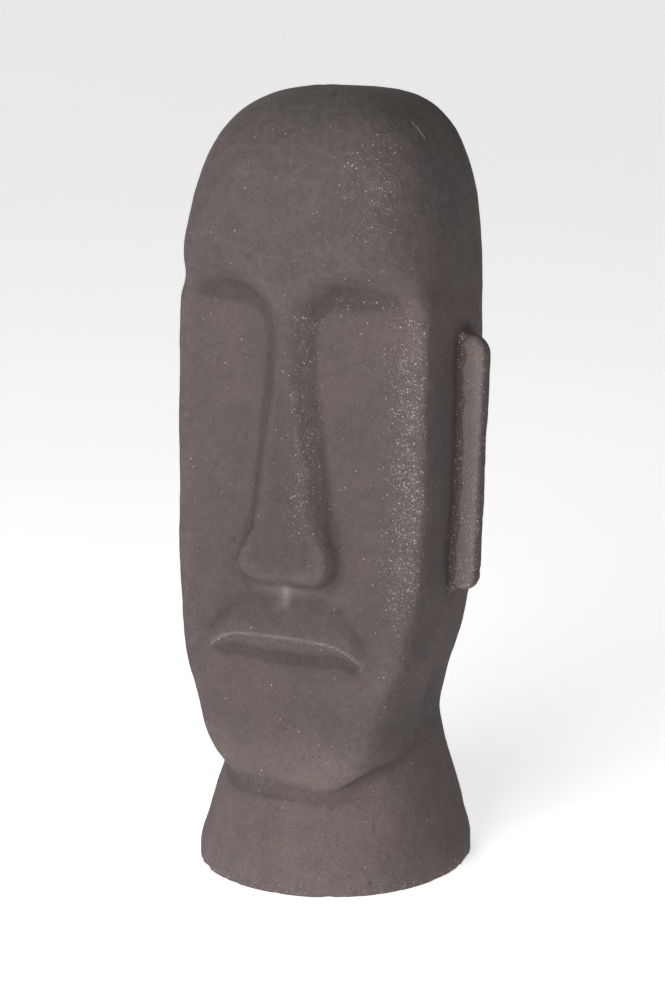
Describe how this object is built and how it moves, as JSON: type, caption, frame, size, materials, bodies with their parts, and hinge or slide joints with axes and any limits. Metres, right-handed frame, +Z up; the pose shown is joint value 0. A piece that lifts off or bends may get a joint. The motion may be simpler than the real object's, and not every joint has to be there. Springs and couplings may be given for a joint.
{
  "type": "moai head statue",
  "caption": "Hollow-cast garden statue of a tall stylised stone head with brow, long nose, down-turned lips, slab ears and a flared neck.",
  "frame": {"origin": "middle of the foot's outline, on the ground", "axes": "+Z up, the face looks towards -Y, +X towards the statue's left ear"},
  "size_m": [0.2306, 0.2099, 0.56],
  "materials": {
    "cast_stone": "matte, fine-grained, weathered",
    "mortar": "matte",
    "glass_fibre": "woven, set in slurry",
    "foot_slab": "rough cast"
  },
  "bodies": {
    "root": {"face_shell": "cast_stone", "back_shell": "cast_stone", "left_ear": "cast_stone", "right_ear": "cast_stone", "seam_mortar": "mortar", "left_ear_mortar": "mortar", "right_ear_mortar": "mortar", "base_mortar": "mortar", "seam_tape": "glass_fibre", "base_plate": "foot_slab"}
  },
  "joints": []
}
